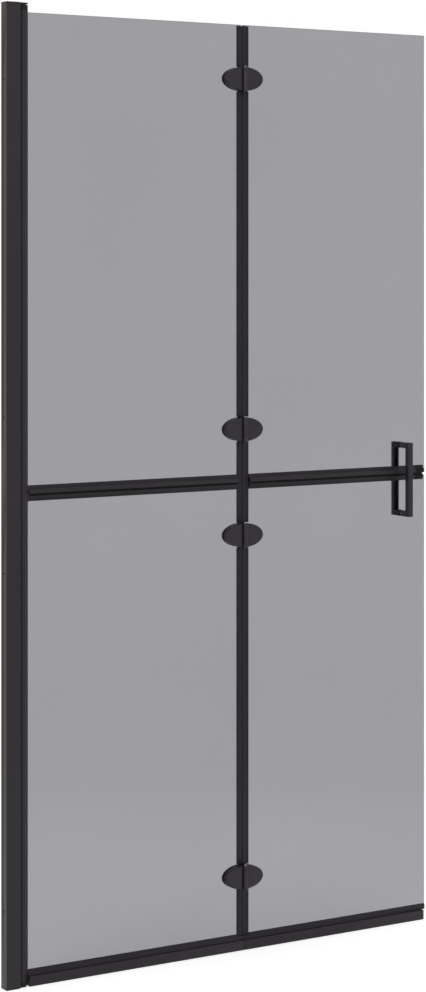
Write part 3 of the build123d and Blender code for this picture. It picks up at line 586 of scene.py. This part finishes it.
class SHOWER_OT_hinges(bpy.types.Operator):
    """Model the oval front plates with their knuckles"""

    bl_idname = "shower.hinges"
    bl_label = "Hinges"

    def execute(self, context):
        sizes = context.scene.screen_sizes
        for number in range(1, HINGE_COUNT + 1):
            for leaf in ("inner", "outer"):
                self.plate(f"hinge_{number}_{leaf}_plate", leaf, sizes)
        return {"FINISHED"}

    def plate(self, node, leaf, sizes):
        low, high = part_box(node)
        side = -1 if leaf == "inner" else 1
        centre_z = (low.z + high.z) / 2
        half_width = max(abs(low.x - FOLD_X), abs(high.x - FOLD_X))
        edge = FOLD_X + side * HINGE_EDGE[leaf]
        back, front = high.y, HINGE_FRONT
        bm = bmesh.new()
        made = bmesh.ops.create_circle(bm, cap_ends=True, radius=1.0, segments=sizes.oval_steps)
        bmesh.ops.scale(bm, verts=made["verts"], vec=(half_width, HINGE_HALF_HEIGHT, 1))
        upright = Matrix.Rotation(math.pi / 2, 3, "X")
        bmesh.ops.rotate(bm, verts=made["verts"], cent=(0, 0, 0), matrix=upright)
        bmesh.ops.translate(bm, verts=made["verts"], vec=(FOLD_X, back, centre_z))
        cut(bm, (edge, 0, 0), (-side, 0, 0), clear_outer=True)
        bm.faces.ensure_lookup_table()
        top = pushed(bm, bm.faces[0], Vector((0, front - back, 0)))
        on_cut = [e for e in top.edges if all(abs(v.co.x - edge) < ON_PLANE for v in e.verts)]
        rim = [e for e in top.edges if e not in on_cut]
        bevel_edges(bm, rim, sizes.hinge_round, OVAL_ROUND_STEPS)
        top_cut = [
            e for e in bm.edges
            if all(abs(v.co.x - edge) < ON_PLANE and abs(v.co.y - front) < ON_PLANE for v in e.verts)
        ]
        bevel_edges(bm, top_cut, CUT_ROUND[leaf])
        neck_end = edge + side * NECK_LAP
        neck_y = NECK_Y[leaf]
        for start, end in KNUCKLES[leaf]:
            rod(bm, (FOLD_X, FOLD_Y, centre_z + start), (0, 0, 1), end - start, BARREL_RADIUS, BARREL_ROUND)
            neck_low, neck_high = max(start, -NECK_HALF), min(end, NECK_HALF)
            neck_z = centre_z + (neck_low + neck_high) / 2
            size = (abs(neck_end - FOLD_X), neck_y[1] - neck_y[0], neck_high - neck_low)
            placed_box(bm, ((FOLD_X + neck_end) / 2, sum(neck_y) / 2, neck_z), size)
        if leaf == "inner":
            ledge_end = FOLD_X - LEDGE_GAP
            size = (ledge_end - neck_end, LEDGE_Y[1] - LEDGE_Y[0], 2 * LEDGE_HALF)
            placed_box(bm, ((neck_end + ledge_end) / 2, sum(LEDGE_Y) / 2, centre_z), size)
        close_up(bm)
        add_piece(f"oval_{node}", bm, "black_hardware", NODE_BODIES[node], (node,))


class SHOWER_OT_fasteners(bpy.types.Operator):
    """Model pins with domed ends and screws with hexagon sockets"""

    bl_idname = "shower.fasteners"
    bl_label = "Fasteners"

    def execute(self, context):
        heights = [
            sum(corner.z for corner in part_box(f"hinge_{number}_inner_plate")) / 2
            for number in range(1, HINGE_COUNT + 1)
        ]
        bm = bmesh.new()
        for z in heights:
            length = PIN_SPAN[1] - PIN_SPAN[0]
            rod(bm, (FOLD_X, FOLD_Y, z + PIN_SPAN[0]), (0, 0, 1), length, PIN_RADIUS, PIN_DOME, 32)
        close_up(bm)
        add_piece("turned_hinge_pins", bm, "stainless_steel", "inner_leaf", ("hinge_pins",))
        for leaf, side in (("inner", -1), ("outer", 1)):
            bm = bmesh.new()
            for z in heights:
                for rise in SCREW_RISES:
                    spot = Vector((FOLD_X + side * SCREW_X, SCREW_BACK, z + rise))
                    rod(bm, spot, (0, -1, 0), SCREW_LENGTH, SCREW_RADIUS, 0, 24)
                    socket_screw(bm, spot, (0, 1, 0), *SCREW_HEAD)
            close_up(bm)
            replaced = (f"{leaf}_hinge_screws",)
            add_piece(f"{leaf}_socket_screws", bm, "stainless_steel", f"{leaf}_leaf", replaced)
        return {"FINISHED"}


class SHOWER_OT_handle(bpy.types.Operator):
    """Model both halves of the square bar handle"""

    bl_idname = "shower.handle"
    bl_label = "Handle"

    def execute(self, context):
        for node, side in (("handle_front", -1), ("handle_back", 1)):
            self.half(node, side, context.scene.screen_sizes.handle_round)
        return {"FINISHED"}

    def half(self, node, side, rounding):
        low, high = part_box(node)
        bar = high.x - low.x
        foot = high.y if side < 0 else low.y
        outer = low.y if side < 0 else high.y
        inner = outer - side * bar
        bm = bmesh.new()
        centre = ((low.x + high.x) / 2, (outer + inner) / 2, (low.z + high.z) / 2)
        placed_box(bm, centre, (bar, bar, high.z - low.z))
        for z in (low.z + bar, high.z - bar):
            cut(bm, (0, 0, z), (0, 0, 1))
        ends = [
            face for face in bm.faces
            if abs(face.calc_center_median().y - inner) < 10 * ON_PLANE
            and not low.z + bar < face.calc_center_median().z < high.z - bar
        ]
        for face in ends:
            moved = bmesh.ops.extrude_face_region(bm, geom=[face])
            bmesh.ops.translate(bm, verts=verts_of(moved), vec=(0, foot - inner, 0))
        bmesh.ops.dissolve_limit(bm, angle_limit=FLAT_ANGLE, verts=bm.verts, edges=bm.edges)
        close_up(bm)
        soften(bm, rounding, ROUND_STEPS)
        add_piece(f"square_{node}", bm, "black_hardware", NODE_BODIES[node], (node,))


class SHOWER_OT_stage(bpy.types.Operator):
    """Set up the pale floor, the room, soft lamps and the camera"""

    bl_idname = "shower.stage"
    bl_label = "Stage"

    def execute(self, context):
        stage = context.scene.screen_stage
        self.floor(stage)
        self.room(context.scene, stage)
        self.lamps()
        self.camera(context.scene, stage)
        context.scene.view_settings.view_transform = "Standard"
        return {"FINISHED"}

    def floor(self, stage):
        bm = bmesh.new()
        bmesh.ops.create_circle(bm, cap_ends=True, radius=stage.floor_radius, segments=96)
        mesh = bpy.data.meshes.new("floor")
        bm.to_mesh(mesh)
        bm.free()
        floor = bpy.data.objects.new("floor", mesh)
        floor.location = FLOOR_PLACE
        bpy.context.scene.collection.objects.link(floor)
        material = bpy.data.materials.new("pale_floor")
        material.use_nodes = True
        tree = material.node_tree
        tree.nodes.clear()
        output = tree.nodes.new("ShaderNodeOutputMaterial")
        lit = tree.nodes.new("ShaderNodeBsdfDiffuse")
        lit.inputs["Color"].default_value = FLOOR_WHITE
        white = self.white_light(tree, "ShaderNodeEmission", 1.0)
        glow = self.white_light(tree, "ShaderNodeEmission", FLOOR_GLOW)
        both = tree.nodes.new("ShaderNodeAddShader")
        near_or_far = tree.nodes.new("ShaderNodeMixShader")
        place = tree.nodes.new("ShaderNodeTexCoord")
        mapping = tree.nodes.new("ShaderNodeMapping")
        mapping.inputs["Scale"].default_value = FLOOR_FADE
        gradient = tree.nodes.new("ShaderNodeTexGradient")
        gradient.gradient_type = "SPHERICAL"
        tree.links.new(place.outputs["Object"], mapping.inputs["Vector"])
        tree.links.new(mapping.outputs["Vector"], gradient.inputs["Vector"])
        tree.links.new(lit.outputs["BSDF"], both.inputs[0])
        tree.links.new(glow.outputs["Emission"], both.inputs[1])
        tree.links.new(gradient.outputs["Fac"], near_or_far.inputs["Fac"])
        tree.links.new(white.outputs["Emission"], near_or_far.inputs[1])
        tree.links.new(both.outputs["Shader"], near_or_far.inputs[2])
        by_ray = tree.nodes.new("ShaderNodeMixShader")
        tree.links.new(self.seen_rays(tree), by_ray.inputs["Fac"])
        tree.links.new(lit.outputs["BSDF"], by_ray.inputs[1])
        tree.links.new(near_or_far.outputs["Shader"], by_ray.inputs[2])
        tree.links.new(by_ray.outputs["Shader"], output.inputs["Surface"])
        mesh.materials.append(material)

    def white_light(self, tree, kind, strength):
        """An emission or background node in white."""
        node = tree.nodes.new(kind)
        node.inputs["Color"].default_value = WHITE
        node.inputs["Strength"].default_value = strength
        return node

    def seen_rays(self, tree):
        """1 where the ray comes from the camera, a glossy surface or the glass."""
        rays = tree.nodes.new("ShaderNodeLightPath").outputs
        mirrored = calculated(tree, "MAXIMUM", rays["Is Camera Ray"], rays["Is Glossy Ray"])
        return calculated(tree, "MAXIMUM", mirrored, rays["Is Transmission Ray"])

    def room(self, scene, stage):
        world = bpy.data.worlds.new("white_room")
        scene.world = world
        world.use_nodes = True
        tree = world.node_tree
        tree.nodes.clear()
        output = tree.nodes.new("ShaderNodeOutputWorld")
        light = self.white_light(tree, "ShaderNodeBackground", stage.room_light)
        seen = self.white_light(tree, "ShaderNodeBackground", 1.0)
        mix = tree.nodes.new("ShaderNodeMixShader")
        tree.links.new(self.seen_rays(tree), mix.inputs["Fac"])
        tree.links.new(light.outputs["Background"], mix.inputs[1])
        tree.links.new(seen.outputs["Background"], mix.inputs[2])
        tree.links.new(mix.outputs["Shader"], output.inputs["Surface"])

    def lamps(self):
        for name, place, size, power in LAMPS:
            data = bpy.data.lights.new(name, "AREA")
            data.shape = "SQUARE"
            data.size = size
            data.energy = power
            lamp = bpy.data.objects.new(name, data)
            lamp.location = place
            towards = Vector(LAMP_TARGET) - Vector(place)
            lamp.rotation_euler = towards.to_track_quat("-Z", "Y").to_euler()
            bpy.context.scene.collection.objects.link(lamp)

    def camera(self, scene, stage):
        data = bpy.data.cameras.new("photo_camera")
        data.lens = stage.lens
        data.sensor_width = SENSOR_WIDTH
        data.shift_y = stage.shift
        camera = bpy.data.objects.new("photo_camera", data)
        camera.location = stage.camera_place
        camera.rotation_euler = (math.pi / 2, 0, -stage.camera_turn)
        scene.collection.objects.link(camera)
        scene.camera = camera


class SHOWER_PT_panel(bpy.types.Panel):
    """Lists the dressing steps in the 3D view's sidebar"""

    bl_label = "Shower Screen"
    bl_idname = "SHOWER_PT_panel"
    bl_space_type = "VIEW_3D"
    bl_region_type = "UI"
    bl_category = "Shower Screen"

    def draw(self, context):
        for operator in OPERATORS:
            self.layout.operator(operator.bl_idname)


OPERATORS = (
    SHOWER_OT_finish_frame,
    SHOWER_OT_soften_profiles,
    SHOWER_OT_hinges,
    SHOWER_OT_fasteners,
    SHOWER_OT_handle,
    SHOWER_OT_stage,
)
GROUPS = (
    ("screen_finish", ScreenFinish),
    ("screen_sizes", ScreenSizes),
    ("screen_stage", ScreenStage),
)


def register():
    for attribute, group in GROUPS:
        bpy.utils.register_class(group)
        setattr(bpy.types.Scene, attribute, PointerProperty(type=group))
    for operator in OPERATORS:
        bpy.utils.register_class(operator)
    bpy.utils.register_class(SHOWER_PT_panel)


def unregister():
    bpy.utils.unregister_class(SHOWER_PT_panel)
    for operator in reversed(OPERATORS):
        bpy.utils.unregister_class(operator)
    for attribute, group in reversed(GROUPS):
        delattr(bpy.types.Scene, attribute)
        bpy.utils.unregister_class(group)


def main():
    register()
    bpy.ops.shower.finish_frame()
    bpy.ops.shower.soften_profiles()
    bpy.ops.shower.hinges()
    bpy.ops.shower.fasteners()
    bpy.ops.shower.handle()
    bpy.ops.shower.stage()


if __name__ == "__main__":
    main()
